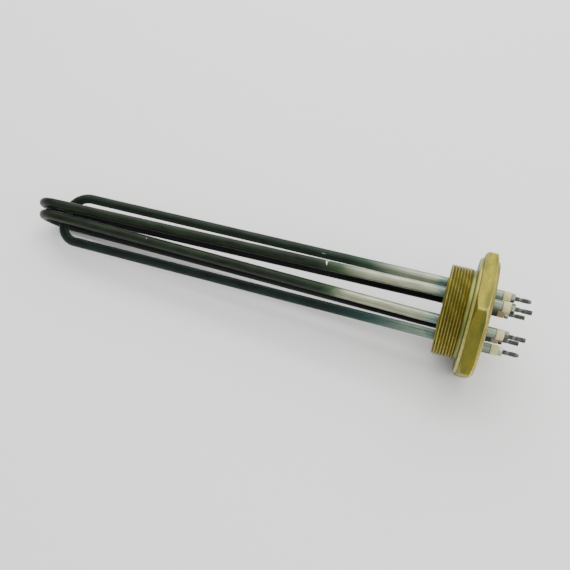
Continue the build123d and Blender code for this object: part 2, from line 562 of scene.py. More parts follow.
@dataclass(frozen=True)
class BrassFinish:
    """Turned and milled brass with a thin olive tarnish, darker in the thread's roots.

    Metallic and roughness go from bare brass to the tarnish's patches. The stored root also
    lays painted shade, and the stored wear painted highlights.
    """

    bright: Colour = tone(222, 202, 116)
    plain: Colour = tone(150, 138, 48)
    tarnish: Colour = tone(94, 98, 42)
    green: Colour = tone(150, 160, 92)
    root: Colour = tone(78, 80, 38)
    pit: Colour = tone(60, 54, 26)
    speck_share: float = 0.32
    ring_share: float = 0.25
    ring_strength: float = 0.3
    ring_height: float = 0.05 * MM
    pit_size: float = 120.0
    pit_edge: Pair = (0.03, 0.07)
    pit_share: float = 0.7
    metallic: Pair = (0.85, 0.6)
    root_dullness: float = 0.3
    roughness: Pair = (0.36, 0.52)
    specular: float = 0.3

    def material(self, effects: SharedEffects) -> bpy.types.Material:
        """Make the material.

        Args:
            effects: the shared node groups.

        Returns:
            The finished material.
        """
        made, graph, shader = start_material("turned_brass")
        sizes = {"Patch_Size": 38.0, "Speck_Size": 500.0, "Stretch": 0.3, "Depth": 0.14}
        mottle = graph.effect(effects.mottle, **sizes).outputs
        rings = graph.effect(effects.turning, Spacing=0.4 * MM).outputs["Rings"]
        wear = graph.effect(effects.edge_wear_and_highlight, Grain=420.0).outputs["Wear"]
        cut, root = graph.times(rings, graph.attribute("turned")), graph.attribute("root")
        pits = graph.add("TexVoronoi", {"Vector": graph.place(), "Scale": self.pit_size})
        pits = graph.spread(pits.outputs["Distance"], *self.pit_edge, (self.pit_share, 0.0))
        base = graph.layer(
            self.plain,
            (mottle["Patches"], self.tarnish),
            (graph.times(mottle["Specks"], self.speck_share), self.root),
            (graph.times(cut, self.ring_share), self.tarnish),
            (pits, self.pit),
            # Green tint, partly a painted highlight in the relief groove and on the collar's band.
            (graph.attribute("green"), self.green),
            # Darker thread roots, and painted shade in the joints, bores and lower sides.
            (root, self.root),
            # Rubbed brass and painted highlights, stored as wear.
            (wear, self.bright),
        )
        metal = graph.spread(mottle["Patches"], to=self.metallic)
        metal = graph.work("SUBTRACT", metal, graph.times(root, self.root_dullness))
        rough = graph.spread(mottle["Patches"], to=self.roughness)
        relief = {"Height": cut, "Strength": self.ring_strength, "Distance": self.ring_height}
        normal = graph.add("Bump", {**relief, "Normal": mottle["Normal"]}).outputs["Normal"]
        graph.feed(shader, {"Base Color": base, "Metallic": metal, "Roughness": rough, "Normal": normal})
        graph.feed(shader, {"Specular IOR Level": self.specular})
        return made


@dataclass(frozen=True)
class Mark:
    """A small rubbed place on a tube: centre, reach each way, brightness and turn about Z."""

    centre: tuple[float, float, float]
    reach: tuple[float, float, float]
    level: float
    turn: float = 0.0


@dataclass(frozen=True)
class TubeFinish:
    """Sheath steel: green-black oxide where it was hot, satin grey near the plug, teal beside it.

    Metallic and roughness go from clean to burnt steel. The lower sides carry painted shade,
    and the far legs and the tubes' feet painted shadow.
    """

    satin: Colour = tone(174, 176, 150)
    dull: Colour = tone(84, 92, 76)
    tinge: Colour = tone(72, 94, 66)
    teal: Colour = tone(84, 118, 116)
    deep_teal: Colour = tone(50, 84, 80)
    oxide: Colour = tone(20, 42, 34)
    olive: Colour = tone(32, 46, 24)
    scale: Colour = tone(8, 12, 9)
    rubbed: Colour = tone(240, 240, 230)
    dull_share: float = 0.5
    raggedness: float = 5 * MM
    outside_run: float = 10 * MM
    teal_reach: float = 13 * MM
    teal_full: float = 6 * MM
    teal_share: float = 0.75
    teal_lost: float = 0.35
    bluish_full: float = 0.5
    tinge_full: float = 0.6
    dark_start: float = 0.25
    painted_shadow_outside: float = 0.8
    rim_reach: float = 0.8 * MM
    rim_share: float = 0.8
    foot_shadow_share: float = 0.7
    mark_edge: float = 0.6
    metallic: Pair = (0.75, 0.35)
    roughness: Pair = (0.4, 0.46)
    specular: float = 0.3
    marks: tuple[Mark, ...] = (
        Mark(mm(-114.0, -1.4, 25.3), mm(0.55, 3.2, 2.6), 1.0, math.radians(-17.5)),
        Mark(mm(-112.7, 0.4, 25.0), mm(0.9, 0.5, 0.9), 0.8),
        Mark(mm(-121.5, 15.9, 13.9), mm(2.5, 0.5, 0.5), 0.2),
        Mark(mm(-239.3, 13.9, 9.1), mm(0.8, 0.8, 0.8), 0.9),
        Mark(mm(-269.9, -15.7, 17.2), mm(0.5, 0.9, 0.9), 0.25),
    )

    def marks_mask(self, graph: Graph) -> bpy.types.NodeSocket:
        """The rubbed places: 1 where the place, taken from the centre in reaches, is short.

        Args:
            graph: the material's graph.

        Returns:
            The mask.
        """
        place = graph.place()
        mask: object = 0.0
        for mark in self.marks:
            away = {"Vector": graph.vector("SUBTRACT", place, mark.centre).outputs[0], "Angle": mark.turn}
            away = graph.add("VectorRotate", away, rotation_type="Z_AXIS").outputs[0]
            away = graph.vector("DIVIDE", away, mark.reach).outputs[0]
            length = graph.vector("LENGTH", away).outputs["Value"]
            here = graph.spread(length, self.mark_edge, 1.0, (mark.level, 0.0))
            mask = graph.work("MAXIMUM", here, mask)
        return mask

    def ends_mask(self, graph: Graph, x: bpy.types.NodeSocket) -> bpy.types.NodeSocket:
        """The dark rim of a tube under its bush, and painted shadow at its foot by the boss.

        Args:
            graph: the material's graph.
            x: the place along X.

        Returns:
            The mask.
        """
        reach = self.rim_reach
        rim = graph.spread(x, TUBE_END - reach, TUBE_END, (0.0, self.rim_share))
        before = graph.spread(x, TERMINAL_FACE - reach, TERMINAL_FACE)
        # Painted shadow of the boss on the tube's foot.
        beyond = graph.spread(x, TERMINAL_FACE + reach, TERMINAL_FACE + 3 * reach, (self.foot_shadow_share, 0.0))
        return graph.work("MAXIMUM", rim, graph.times(beyond, before))

    def material(self, effects: SharedEffects) -> bpy.types.Material:
        """Make the material.

        A leg is clean up to its stored fade and burnt a fade run further on. The patches move
        that border and the teal's by up to the raggedness. Painted shade darkens the lower sides.

        Args:
            effects: the shared node groups.

        Returns:
            The finished material.
        """
        made, graph, shader = start_material("sheath_steel")
        sizes = {"Patch_Size": 190.0, "Speck_Size": 1100.0, "Stretch": 4.0, "Depth": 0.2}
        mottle = graph.effect(effects.mottle, **sizes).outputs
        patches, under, teal = mottle["Patches"], graph.attribute("under"), graph.attribute("teal")
        even = graph.add("SeparateXYZ", {0: graph.place()}).outputs["X"]
        x = graph.work("ADD", even, graph.spread(patches, to=(-self.raggedness, self.raggedness)))
        outside = graph.spread(x, -self.outside_run, self.outside_run)
        burnt = graph.work("SUBTRACT", graph.attribute("fade"), x)
        burnt = graph.spread(graph.work("DIVIDE", burnt, graph.attribute("fade_run")))
        reach = (SPIGOT_END - self.teal_reach, SPIGOT_END - self.teal_full)
        beside = graph.spread(x, *reach, (0.0, self.teal_share))
        beside = graph.work("SUBTRACT", beside, graph.times(outside, self.teal_lost))
        # Painted shade: the stored under value darkens the tubes' lower sides towards dull and scale.
        clean = graph.layer(
            self.satin,
            (graph.times(patches, self.dull_share), self.dull),
            (under, self.dull),
            (graph.work("MAXIMUM", beside, teal), self.teal),
        )
        bluish = graph.spread(teal, 0.0, self.bluish_full)
        dark = graph.layer(self.olive, (bluish, self.oxide), (patches, self.scale), (under, self.scale))
        # Painted shadow on the far legs, a little lighter on the stubs outside the plug.
        soot = graph.times(graph.attribute("soot"), graph.spread(outside, to=(1.0, self.painted_shadow_outside)))
        base = graph.layer(
            clean,
            (graph.spread(burnt, 0.0, self.tinge_full), graph.mix(bluish, self.tinge, self.deep_teal)),
            (graph.spread(burnt, self.dark_start, 1.0), dark),
            (soot, self.scale),
            (self.ends_mask(graph, even), self.scale),
            # Painted shade on the lower sides, deeper on the stubs outside the plug.
            (graph.times(under, outside), self.scale),
            (self.marks_mask(graph), self.rubbed),
        )
        rough, metal = graph.spread(burnt, to=self.roughness), graph.spread(burnt, to=self.metallic)
        inputs = {"Base Color": base, "Roughness": rough, "Metallic": metal, "Normal": mottle["Normal"]}
        graph.feed(shader, {**inputs, "Specular IOR Level": self.specular})
        return made


@dataclass(frozen=True)
class PlainFinish:
    """A finish of one colour that mottles towards a second, for bushes, nuts and studs."""

    name: str
    first: Colour
    second: Colour
    deep: Colour
    metallic: float
    roughness: Pair
    worn_and_highlit: Colour = tone(225, 225, 220)
    patch_size: float = 400.0
    speck_size: float = 2500.0
    depth: float = 0.15
    wear_grain: float = 1500.0

    def material(self, effects: SharedEffects) -> bpy.types.Material:
        """Make the material.

        Args:
            effects: the shared node groups.

        Returns:
            The finished material.
        """
        made, graph, shader = start_material(self.name)
        sizes = {"Patch_Size": self.patch_size, "Speck_Size": self.speck_size, "Depth": self.depth}
        mottle = graph.effect(effects.mottle, **sizes).outputs
        wear = graph.effect(effects.edge_wear_and_highlight, Grain=self.wear_grain).outputs["Wear"]
        # The deep colour lays the stored root, mostly painted shade; the worn colour lays wear and
        # painted highlights.
        stained = (graph.attribute("root"), self.deep)
        base = graph.layer(self.first, (mottle["Patches"], self.second), stained, (wear, self.worn_and_highlit))
        rough = graph.spread(mottle["Specks"], to=self.roughness)
        inputs = {"Base Color": base, "Roughness": rough, "Normal": mottle["Normal"]}
        graph.feed(shader, {**inputs, "Metallic": self.metallic})
        return made


# The deep brown is the painted shade on bushes 5 and 6.
CERAMIC = PlainFinish(
    name="bush_ceramic",
    first=tone(222, 215, 162),
    second=tone(204, 194, 136),
    deep=tone(112, 84, 68),
    metallic=0.0,
    roughness=(0.6, 0.85),
)
# The deep colour is the painted shade under the nuts; the worn colour also lays painted highlights.
NUT_STEEL = PlainFinish(
    name="nut_steel",
    first=tone(142, 144, 130),
    second=tone(96, 98, 86),
    deep=tone(22, 26, 24),
    metallic=0.9,
    roughness=(0.2, 0.36),
)
# The deep colour darkens the studs: painted shade on their lower sides, and their thread roots.
STUD_STEEL = PlainFinish(
    name="stud_steel",
    first=tone(128, 138, 132),
    second=tone(60, 68, 64),
    deep=tone(16, 18, 17),
    metallic=0.7,
    roughness=(0.35, 0.5),
)


@dataclass
class ScrewPlug:
    """The brass plug: threaded spigot, relief groove, collar, hexagon and round boss."""

    thread_radius: float = 37.592 * MM
    thread_pitch: float = 25.4 / 11 * MM
    thread_depth: float = 1.479 * MM
    lead_in: float = 1.2 * MM
    relief_radius: float = 36.392 * MM
    sealing_face: float = 3.2 * MM
    collar_radius: float = 47.2 * MM
    collar_thickness: float = 2.5 * MM
    collar_chamfer: float = 0.8 * MM
    chamfer_reach: float = 4.4 * MM
    chamfer_angle: float = math.radians(20)
    boss_radius: float = 47.0 * MM
    boss_height: float = 2.3 * MM
    boss_chamfer: float = 0.8 * MM
    face_radius: float = 45.0 * MM
    edge_rounding: float = 0.25 * MM
    corner_rounding: float = 0.4 * MM
    root_clearance: float = 0.1 * MM
    hole_radius: float = 4.25 * MM
    shade_reach: float = 0.7 * MM
    # Painted shade, stored as root: joints, bores, the spigot's lower side and the boss's top.
    junction_shade: float = 0.85
    hole_dark: float = 0.8
    hole_shade: float = 0.5 * MM
    root_shade: float = 0.2
    low_shade: float = 0.4
    high_shade: float = 0.5
    shade_gain: float = 0.9
    shade_start: float = 0.4
    crest_wear: float = 0.9
    crest_fall: float = 1.5
    crest_unlit: float = 0.4
    # Wear that also paints highlights: the glint on the hexagon's cone, the collar's band, the boss's
    # strip.
    rim_wear_and_glint: float = 0.75
    step_wear_and_highlight: float = 0.7
    corner_wear: float = 0.5
    corner_reach: float = 0.9 * MM
    least_lit: float = 0.3
    # A lighter green tint that partly paints the highlight in the relief groove and on the collar's band.
    groove_green: float = 0.8
    band_green: float = 0.4
    columns_per_sixth: int = 64
    rows_per_pitch: int = 14
    spoke_steps: int = 13
    rounding_steps: int = 4

    @property
    def end_radius(self) -> float:
        """Inner radius of the ring on the spigot's end, just under the thread's roots."""
        return self.thread_radius - self.thread_depth - self.root_clearance

    def sixth(self) -> np.ndarray:
        """Directions in a sixth of the turn, from one hexagon corner to before the next."""
        even = np.linspace(0, TURN / 6, self.columns_per_sixth, endpoint=False)
        beside = self.corner_rounding / (PLUG_HIGH.y - PLUG_LOW.y) * 2
        return np.sort(np.append(even, [beside, TURN / 6 - beside]))

    def angles(self) -> np.ndarray:
        """Directions round the whole plug, the same for every ring of it."""
        return np.concatenate([self.sixth() + turn * TURN / 6 for turn in range(6)])

    def thread_rows(self, angles: np.ndarray) -> tuple[np.ndarray, np.ndarray, np.ndarray]:
        """The threaded spigot's rows from its end to the relief groove.

        The radius is R - d / 2 (1 - w), with w the thread wave at x / pitch - t / 360 deg, and
        no more than that of the lead-in cone.

        Args:
            angles: directions round the axis.

        Returns:
            Places along X, radii and how deep in a root each point lies, 0 to 1.
        """
        rows = int(-SPIGOT_END / self.thread_pitch * self.rows_per_pitch)
        x = np.linspace(SPIGOT_END, 0.0, rows)[:, None] + np.zeros_like(angles)
        wave = thread_wave(x / self.thread_pitch - angles / TURN)
        radius = self.thread_radius - self.thread_depth / 2 * (1 - wave)
        cone = self.thread_radius - self.lead_in + (x - SPIGOT_END)
        return x, np.minimum(radius, cone), np.clip((1 - wave) / 2, 0, 1)

    def hexagon_rows(self, angles: np.ndarray) -> tuple[np.ndarray, np.ndarray, np.ndarray]:
        """The hexagon's rows from the collar to the boss.

        Both ends are cut by a cone that meets the end face at the radius c. Where the outline's
        radius h is over c, the cone takes away (h - c) tan(angle) of the side. Wear lies on the
        hexagon's corners, and wear with a painted glint on the cone beside the boss.

        Args:
            angles: directions round the axis.

        Returns:
            Places along X, radii, and wear with a painted glint.
        """
        start = self.sealing_face + self.collar_thickness
        end = TERMINAL_FACE - self.boss_height
        outline = hexagon_radius(angles, PLUG_HIGH.z - PLUG_LOW.z)
        corner = outline.max()
        outline = np.minimum(outline, corner - self.corner_rounding * math.tan(TURN / 12))
        cone = corner - self.chamfer_reach
        cut = np.maximum(outline - cone, 0) * math.tan(self.chamfer_angle)
        face = np.minimum(outline, cone)
        soft, none = self.edge_rounding, np.zeros_like(angles)
        away = np.mod(angles + TURN / 12, TURN / 6) - TURN / 12
        rubbed = self.corner_wear * np.exp(-((away * corner / self.corner_reach) ** 2))
        lower, upper = start + cut + soft, end - cut - soft
        rows = [
            (none + start, none + self.collar_radius, none),
            (none + start, face - soft, none),
            (lower, outline, none),
            (lower + soft / 2, outline, rubbed),
            (upper - soft / 2, outline, rubbed),
            # Wear and a painted glint on the cone beside the boss.
            (upper, outline, none + self.rim_wear_and_glint),
            (none + end, face - soft, none + self.rim_wear_and_glint),
            (none + end, none + self.boss_radius, none),
        ]
        return tuple(np.stack(part) for part in zip(*rows))

    def drilled_face(
        self, x: float, outer: float, holes: np.ndarray
    ) -> tuple[np.ndarray, list[np.ndarray]]:
        """Grids that fill a flat round face with a round hole in each sixth of it.

        The edge of a sixth runs along the face's rim between two spokes at +-30 deg, in along
        one spoke to the axis and out along the other. Each point of it is joined with the points
        of the hole's rim and of a ring just outside it in the same direction u from its centre.

        Args:
            x: the face's place.
            outer: its radius.
            holes: (6, 2) centres of the holes.

        Returns:
            The directions u and one (3, columns, 3) grid per sixth.
        """
        pitch = float(np.linalg.norm(holes[0]))
        arc = np.append(self.sixth(), TURN / 6) - TURN / 12
        inward = np.linspace(outer, 0, self.spoke_steps + 1)[1:]
        radius = np.concatenate([np.full_like(arc, outer), inward, inward[-2::-1]])
        spokes = [np.full_like(inward, TURN / 12), np.full(len(inward) - 1, -TURN / 12)]
        angle = np.concatenate([arc, *spokes])
        edge = np.stack([radius * np.cos(angle), radius * np.sin(angle)], axis=-1)
        away = edge - [pitch, 0]
        u = np.arctan2(away[:, 1], away[:, 0])
        across = np.stack([np.cos(u), np.sin(u)], axis=-1)
        reaches = (self.hole_radius, self.hole_radius + self.hole_shade)
        local = np.stack([*([pitch, 0] + reach * across for reach in reaches), edge])
        grids = []
        for hole in holes:
            c, s = hole / pitch
            y = local[..., 0] * c - local[..., 1] * s
            z = local[..., 0] * s + local[..., 1] * c
            grids.append(np.stack([np.full_like(y, x), y, z], axis=-1))
        return u, grids

    def step_profile(self) -> tuple[np.ndarray, ...]:
        """Profile of relief groove, sealing face and collar.

        Painted shade lies in its inner corners, and the groove's floor and the collar's band are free of
        it.
        The margin takes in the points at the ends of these two.

        Returns:
            The profile as (x, radius), and how dark, how green and how worn and highlit each point is.
        """
        start = self.sealing_face + self.collar_thickness
        inner = self.collar_radius - self.collar_chamfer
        corners = np.array(
            [
                (0.0, self.relief_radius),
                (2 * self.shade_reach, self.relief_radius),
                (self.sealing_face - self.shade_reach, self.relief_radius),
                (self.sealing_face, self.relief_radius),
                (self.sealing_face, inner - self.shade_reach),
                (self.sealing_face, inner),
                (self.sealing_face + self.collar_chamfer, self.collar_radius),
                (start - self.shade_reach, self.collar_radius),
                (start, self.collar_radius),
            ]
        )
        soft, reach, margin = self.edge_rounding, self.shade_reach, 0.1 * self.shade_reach
        radii = np.array([0, 0, soft * 2, 0, soft, soft, 0])
        step = round_corners(corners, radii, self.rounding_steps)
        x, radius = step.T
        groove = (radius < self.relief_radius + soft) & (x > 2 * reach - margin)
        groove &= x < self.sealing_face - reach + margin
        band = (radius > inner - soft) & (x < start - reach + margin)
        dark = np.where(groove | band, 0.0, self.junction_shade)
        green = np.where(groove, self.groove_green, np.where(band, self.band_green, 0.0))
        return step, dark, green, np.where(band, self.step_wear_and_highlight, 0.0)

    def add_spigot(self, shell: Shell, angles: np.ndarray, lit: np.ndarray) -> None:
        """Add the threaded spigot, the ring on its end and the wall into the relief groove.

        At the depth d in a root the wear is (0.9 - 1.5 d)(0.4 + 0.6 lit), not under 0. The shade is
        0.9 d - 0.4, between 0 and 0.2, and up to 0.4 more of painted shade where the surface looks down.

        Args:
            shell: the plug's surfaces.
            angles: directions round the axis.
            lit: how strongly the painted highlight on rubbed metal shows in each direction.
        """
        x, radius, depth = self.thread_rows(angles)
        none = np.zeros_like(angles)
        seen = self.crest_unlit + (1 - self.crest_unlit) * lit
        wear = np.clip(self.crest_wear - self.crest_fall * depth, 0, 1) * seen
        # Painted shade on the spigot's lower side.
        low = np.clip(-np.sin(angles), 0, 1)
        shade = np.clip(depth * self.shade_gain - self.shade_start, 0, self.root_shade)
        shade = shade + self.low_shade * low
        wear[[0, -1]], shade[0], shade[-1] = 0, 0, self.junction_shade
        shell.add_grid(turned(x, radius, angles), root=shade, wear=wear, turned=1.0)
        end_ring = np.stack([none + self.end_radius, radius[0]])
        shell.add_grid(turned(x[[0, 0]], end_ring, angles), turned=1.0)
        wall = np.stack([radius[-1], none + self.relief_radius])
        shell.add_grid(turned(np.zeros(2), wall, angles), root=self.junction_shade, turned=1.0)

    def add_step_and_hexagon(self, shell: Shell, angles: np.ndarray, lit: np.ndarray) -> None:
        """Add the relief groove, the sealing face, the collar and the hexagon.

        Args:
            shell: the plug's surfaces.
            angles: directions round the axis.
            lit: how strongly the painted highlight on rubbed metal shows in each direction.
        """
        profile, dark, green, worn_and_highlit = self.step_profile()
        # Painted highlight on the collar's band, weighted by lit.
        values = {"root": dark[:, None], "green": green[:, None], "wear": worn_and_highlit[:, None] * lit}
        shell.add_grid(turned(*profile.T, angles), turned=1.0, **values)
        x, radius, wear = self.hexagon_rows(angles)
        junction = np.zeros((len(x), 1))
        junction[[0, -1]] = self.junction_shade
        shell.add_grid(turned(x, radius, angles), wear=wear, root=junction)

    def add_boss(self, shell: Shell, angles: np.ndarray, lit: np.ndarray) -> None:
        """Add the round boss, whose worn rim carries a painted highlight and painted shade on top.

        Args:
            shell: the plug's surfaces.
            angles: directions round the axis.
            lit: how strongly the painted highlight on rubbed metal shows in each direction.
        """
        start, tip = TERMINAL_FACE - self.boss_height, TERMINAL_FACE
        corners = [
            (start, self.boss_radius),
            (start + self.shade_reach / 2, self.boss_radius),
            (tip - self.boss_chamfer, self.boss_radius),
            (tip, self.boss_radius - self.boss_chamfer),
            (tip, self.face_radius),
        ]
        radii = np.array([0.0, self.edge_rounding, self.edge_rounding])
        profile = round_corners(np.array(corners), radii, self.rounding_steps)
        worn_and_highlit, dark = np.full((len(profile), 1), self.step_wear_and_highlight), np.zeros((len(profile), 1))
        worn_and_highlit[[0, -1]], dark[0] = 0, self.junction_shade
        # Painted shade on the top of the boss's rim.
        shade = np.maximum(dark, self.high_shade * worn_and_highlit * np.clip(np.sin(angles), 0, 1))
        shell.add_grid(turned(*profile.T, angles), wear=worn_and_highlit * lit, root=shade, turned=1.0)

    def add_holes(self, shell: Shell, holes: np.ndarray) -> None:
        """Add the two flat faces and the six bores between them, with painted shade in and round the
        bores.

        Args:
            shell: the plug's surfaces.
            holes: (6, 2) centres of the tube holes.
        """
        # Painted shade in the bores and in a ring round each hole.
        dark = np.array([[self.hole_dark], [0.0], [0.0]])
        faces = ((SPIGOT_END, self.end_radius, True), (TERMINAL_FACE, self.face_radius, False))
        for place, outer, over in faces:
            u, grids = self.drilled_face(place, outer, holes)
            for grid in grids:
                shell.add_grid(grid, turn_over=over, turned=1.0, root=dark)
        x, radius = np.array([SPIGOT_END, TERMINAL_FACE]), np.full(2, self.hole_radius)
        for hole in holes:
            bore = turned(x, radius, u + math.atan2(hole[1], hole[0]), hole)
            shell.add_grid(bore, root=self.hole_dark, turned=1.0)

    def build(self, holes: np.ndarray, material: bpy.types.Material) -> None:
        """Make the plug.

        The painted highlight on rubbed metal is weighted by 0.3 + 0.7 cos(t) ** 4, most on both
        sides of the plug.

        Args:
            holes: (6, 2) centres of the tube holes.
            material: the brass.
        """
        shell = Shell("plug_turned")
        angles = self.angles()
        lit = self.least_lit + (1 - self.least_lit) * np.cos(angles) ** 4
        self.add_spigot(shell, angles, lit)
        self.add_step_and_hexagon(shell, angles, lit)
        self.add_boss(shell, angles, lit)
        self.add_holes(shell, holes)
        shell.build(Slot.BRASS, material, "screw_plug")


@dataclass
class LegCircle:
    """The pitch circle that the six legs stand on."""

    radius: float = 21.8 * MM
    count: int = 6
    first_angle: float = math.radians(30)

    def centre(self, leg: int) -> np.ndarray:
        """Centre of a leg in the plug, as (y, z)."""
        angle = self.first_angle + (leg - 1) * TURN / self.count
        return self.radius * np.array([math.cos(angle), math.sin(angle)])

    def centres(self) -> np.ndarray:
        """Centres of all the legs, one row each."""
        return np.stack([self.centre(leg) for leg in range(1, self.count + 1)])


@dataclass(frozen=True)
class LegLook:
    """How one leg is stained: where it is clean and where burnt, its painted shadow and its teal tint."""

    clean: float
    burnt: float
    soot: float = 0.0
    teal: float = 0.0

    def values(self) -> np.ndarray:
        """Where the fade starts, how long it is, the painted shadow and the tint."""
        return np.array([self.clean, self.clean - self.burnt, self.soot, self.teal])


# Painted shadow: legs 5 and 6 lie in the shadow of the upper legs and are painted near black.
FAR_LEG = LegLook(-80 * MM, -116 * MM, soot=1.0)
LEG_LOOKS = {
    1: LegLook(-50 * MM, -104 * MM, teal=0.2),
    2: LegLook(-78 * MM, -122 * MM),
    3: LegLook(-90 * MM, -116 * MM),
    4: LegLook(-26 * MM, -106 * MM, teal=0.5),
    5: FAR_LEG,
    6: FAR_LEG,
}


@dataclass
class HeatingTube:
    """One hairpin: two legs that lean beyond a knee, and the turn that joins them."""

    name: str
    legs: tuple[int, int]
    lean: Pair
    bends: Pair = (18.2 * MM, 18.2 * MM)
    radius: float = 4.2 * MM
    pin_radius: float = 1.6 * MM
    pin_end: float = -95.2 * MM
    knee: float = -29.2 * MM
    knee_radius: float = 300 * MM
    # Painted shade: each tube's under side is darkened where it looks down.
    under_shade: float = 0.8
    shade_top: float = 0.45
    shade_run: float = 0.9
    columns: int = 48
    bend_steps: int = 20
    longest_run: float = 8 * MM

    def leg_point(self, circle: LegCircle, leg: int, x: float) -> np.ndarray:
        """Point of a leg's centre line at a place along X.

        Beyond the knee it drifts by (knee - x) tan(lean) towards the axis.

        Args:
            circle: the legs' pitch circle.
            leg: the leg's number.
            x: the place.

        Returns:
            The point.
        """
        centre = circle.centre(leg)
        inward = -(circle.centre(self.legs[0]) + circle.centre(self.legs[1]))
        if np.linalg.norm(inward) < circle.radius / 2:
            inward = -centre
        inward = inward / np.linalg.norm(inward)
        drift = max(0.0, self.knee - x) * math.tan(math.radians(self.lean[self.legs.index(leg)]))
        return np.array([x, *(centre + inward * drift)])

    def route(self, circle: LegCircle) -> np.ndarray:
        """The centre line from the first leg's end round to the second's.

        Args:
            circle: the legs' pitch circle.

        Returns:
            Its points, with the turn where the frame's tube has it.
        """
        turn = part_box(f"{self.name}_heating_tube")[0].x + self.radius
        first, last = self.legs
        corners = [self.leg_point(circle, first, x) for x in (TUBE_END, self.knee, turn)]
        corners += [self.leg_point(circle, last, x) for x in (turn, self.knee, TUBE_END)]
        radii = np.array([self.knee_radius, *self.bends, self.knee_radius])
        line = round_corners(np.array(corners), radii, steps=self.bend_steps)
        return divide_runs(line, self.longest_run)

    def build(self, circle: LegCircle, material: bpy.types.Material) -> None:
        """Make the tube with its two bored ends.

        The legs' looks pass into each other by each point's share of the way from the first
        leg's centre to the last's. The under side gets painted shade where the surface looks down.

        Args:
            circle: the legs' pitch circle.
            material: the sheath steel.
        """
        path = self.route(circle)
        first, last = (circle.centre(leg) for leg in self.legs)
        span = last - first
        across = np.cross([1.0, 0.0, 0.0], [0.0, *span])
        grid = carried_circle(path, self.radius, across / np.linalg.norm(across), self.columns)
        share = np.clip((path[:, 1:] - first) @ span / (span @ span), 0, 1)[:, None]
        start, end = (LEG_LOOKS[leg].values() for leg in self.legs)
        fade, fade_run, soot, teal = (start + (end - start) * share).T[:, :, None]
        looks_down = underside(grid, path[:, 2:], self.radius, self.shade_top, self.shade_run)
        under = self.under_shade * looks_down
        shell = Shell(f"{self.name}_sheath")
        stains = {"fade": fade, "fade_run": fade_run, "soot": soot, "teal": teal, "under": under}
        shell.add_grid(grid, **stains)
        for row, centre in ((0, first), (-1, last)):
            away = grid[row, :, 1:] - centre
            angles = np.arctan2(away[:, 1], away[:, 0])
            x = np.array([path[row, 0], path[row, 0], self.pin_end, self.pin_end])
            radius = np.array([self.radius, self.pin_radius, self.pin_radius, 0.0])
            ends = {name: values[row] for name, values in stains.items()}
            shell.add_grid(turned(x, radius, angles, centre), **ends)
        shell.build(Slot.TUBE, material, f"{self.name}_heating_tube")


TERMINAL_LOOKS = {
    1: {"tip": Tip.TAPERED},
    # Nut 4 is lit: less painted shade under it and a painted highlight over it.
    4: {"tip": Tip.TAPERED, "painted_nut_shade": 0.3, "painted_sheen": 0.4},
    # Painted shade: bushes 5 and 6 lie in the shadow of the others.
    5: {"painted_bush_shade": 0.75},
    6: {"painted_bush_shade": 0.75},
}


